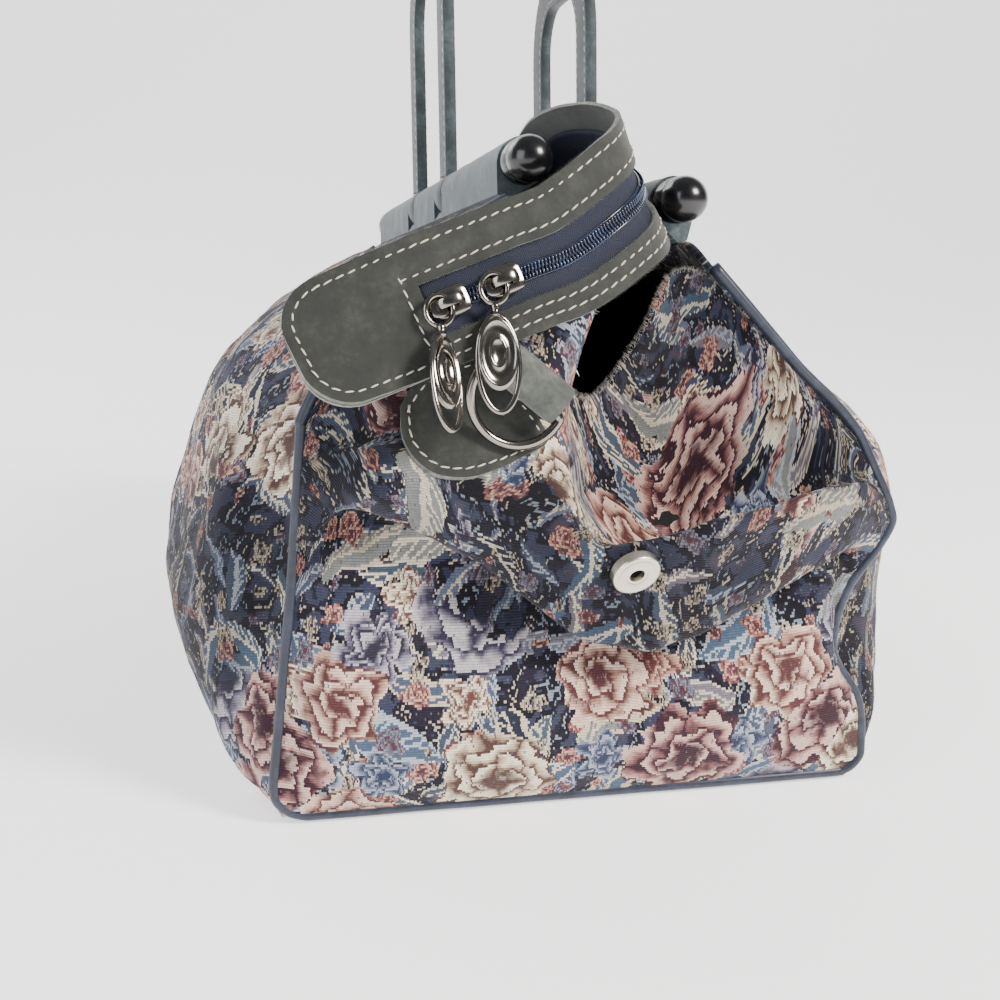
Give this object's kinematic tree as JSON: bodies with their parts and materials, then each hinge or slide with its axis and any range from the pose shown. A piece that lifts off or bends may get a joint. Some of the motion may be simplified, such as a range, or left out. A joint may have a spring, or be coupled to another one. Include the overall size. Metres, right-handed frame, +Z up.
{
  "type": "carpet bag",
  "caption": "Slumped doctor-style tapestry bag with rod-framed mouth, curling leather zip strip, carrying handles, strap rings and snaps.",
  "frame": {"origin": "middle of the base panel's underside, on the floor", "axes": "+X across the bag to its right side, +Y along the bag from the front end to the rear end, +Z up"},
  "size_m": [0.285, 0.4515, 0.3292],
  "materials": {
    "tapestry": "navy ground tapestry weave with scattered flowers",
    "base_vinyl": "pebbled dark vinyl",
    "navy_vinyl": "smooth vinyl over cord",
    "lining_cloth": "plain dark cotton",
    "stiffener_board": "fibreboard",
    "steel_rod": "drawn steel",
    "black_cap": "moulded gloss",
    "zip_tape": "woven polyester tape",
    "zip_coil": "nylon coil",
    "nickel": "nickel plate, lightly worn",
    "light_suede": "suede side of the strap leather",
    "nubuck": "nubuck, worn"
  },
  "bodies": {
    "bag": {"base_board": "stiffener_board", "base_lining": "lining_cloth", "base_panel": "base_vinyl", "front_end_panel": "tapestry", "front_lining": "lining_cloth", "front_piping": "navy_vinyl", "front_ring_patch": "nubuck", "front_snap_socket": "nickel", "front_snap_stud": "nickel", "front_strap_loop": "light_suede", "front_tab_backing": "nubuck", "left_front_rod_cap": "black_cap", "left_lining": "lining_cloth", "left_rear_rod_cap": "black_cap", "left_rod": "steel_rod", "left_side_panel": "tapestry", "left_sleeve": "nubuck", "lower_zip_coil": "zip_coil", "lower_zip_tape": "zip_tape", "rear_end_panel": "tapestry", "rear_lining": "lining_cloth", "rear_piping": "navy_vinyl", "rear_ring_patch": "nubuck", "rear_snap_socket": "nickel", "rear_snap_stud": "nickel", "rear_strap_loop": "light_suede", "rear_tab_backing": "nubuck", "right_front_rod_cap": "black_cap", "right_lining": "lining_cloth", "right_rear_rod_cap": "black_cap", "right_rod": "steel_rod", "right_side_panel": "tapestry", "right_sleeve": "nubuck", "upper_zip_coil": "zip_coil", "upper_zip_tape": "zip_tape", "zip_leather": "nubuck"},
    "lower_slider": {"lower_slider": "nickel"},
    "upper_slider": {"upper_slider": "nickel"},
    "lower_pull": {"lower_pull": "nickel"},
    "upper_pull": {"upper_pull": "nickel"},
    "front_strap_ring": {"front_strap_ring": "nickel"},
    "rear_strap_ring": {"rear_strap_ring": "nickel"},
    "left_handle": {"left_handle": "nubuck"},
    "right_handle": {"right_handle": "nubuck"}
  },
  "joints": [
    {"name": "lower_slider_run", "type": "slide", "parent": "bag", "child": "lower_slider", "axis": [0.9325, 0.1286, 0.3376], "range_m": [-0.0015, 0.001]},
    {"name": "upper_slider_run", "type": "slide", "parent": "bag", "child": "upper_slider", "axis": [0.9325, 0.1286, 0.3376], "range_m": [-0.001, 0.0105]},
    {"name": "lower_pull_swing", "type": "hinge", "parent": "lower_slider", "child": "lower_pull", "pos_m": [-0.0571, -0.2262, 0.17981], "axis": [0.0401, -0.9656, 0.257], "range_deg": [-70, 1]},
    {"name": "upper_pull_swing", "type": "hinge", "parent": "upper_slider", "child": "upper_pull", "pos_m": [-0.03985, -0.22382, 0.18605], "axis": [0.0401, -0.9656, 0.257], "range_deg": [-1, 60]},
    {"name": "front_ring_lift", "type": "hinge", "parent": "bag", "child": "front_strap_ring", "pos_m": [-0.028, -0.216, 0.1525], "axis": [-0.769, 0, 0.6392], "range_deg": [-6, 40]},
    {"name": "rear_ring_lift", "type": "hinge", "parent": "bag", "child": "rear_strap_ring", "pos_m": [0.004, 0.19787, 0.15224], "axis": [1, 0, 0], "range_deg": [-7, 6]},
    {"name": "left_handle_fold", "type": "hinge", "parent": "bag", "child": "left_handle", "pos_m": [-0.0197, 0, 0.2105], "axis": [0, -0.9971, 0.0756], "range_deg": [-14, 70]},
    {"name": "right_handle_fold", "type": "hinge", "parent": "bag", "child": "right_handle", "pos_m": [0.0341, 0, 0.1995], "axis": [0, 0.9979, -0.0645], "range_deg": [-14, 70]}
  ]
}
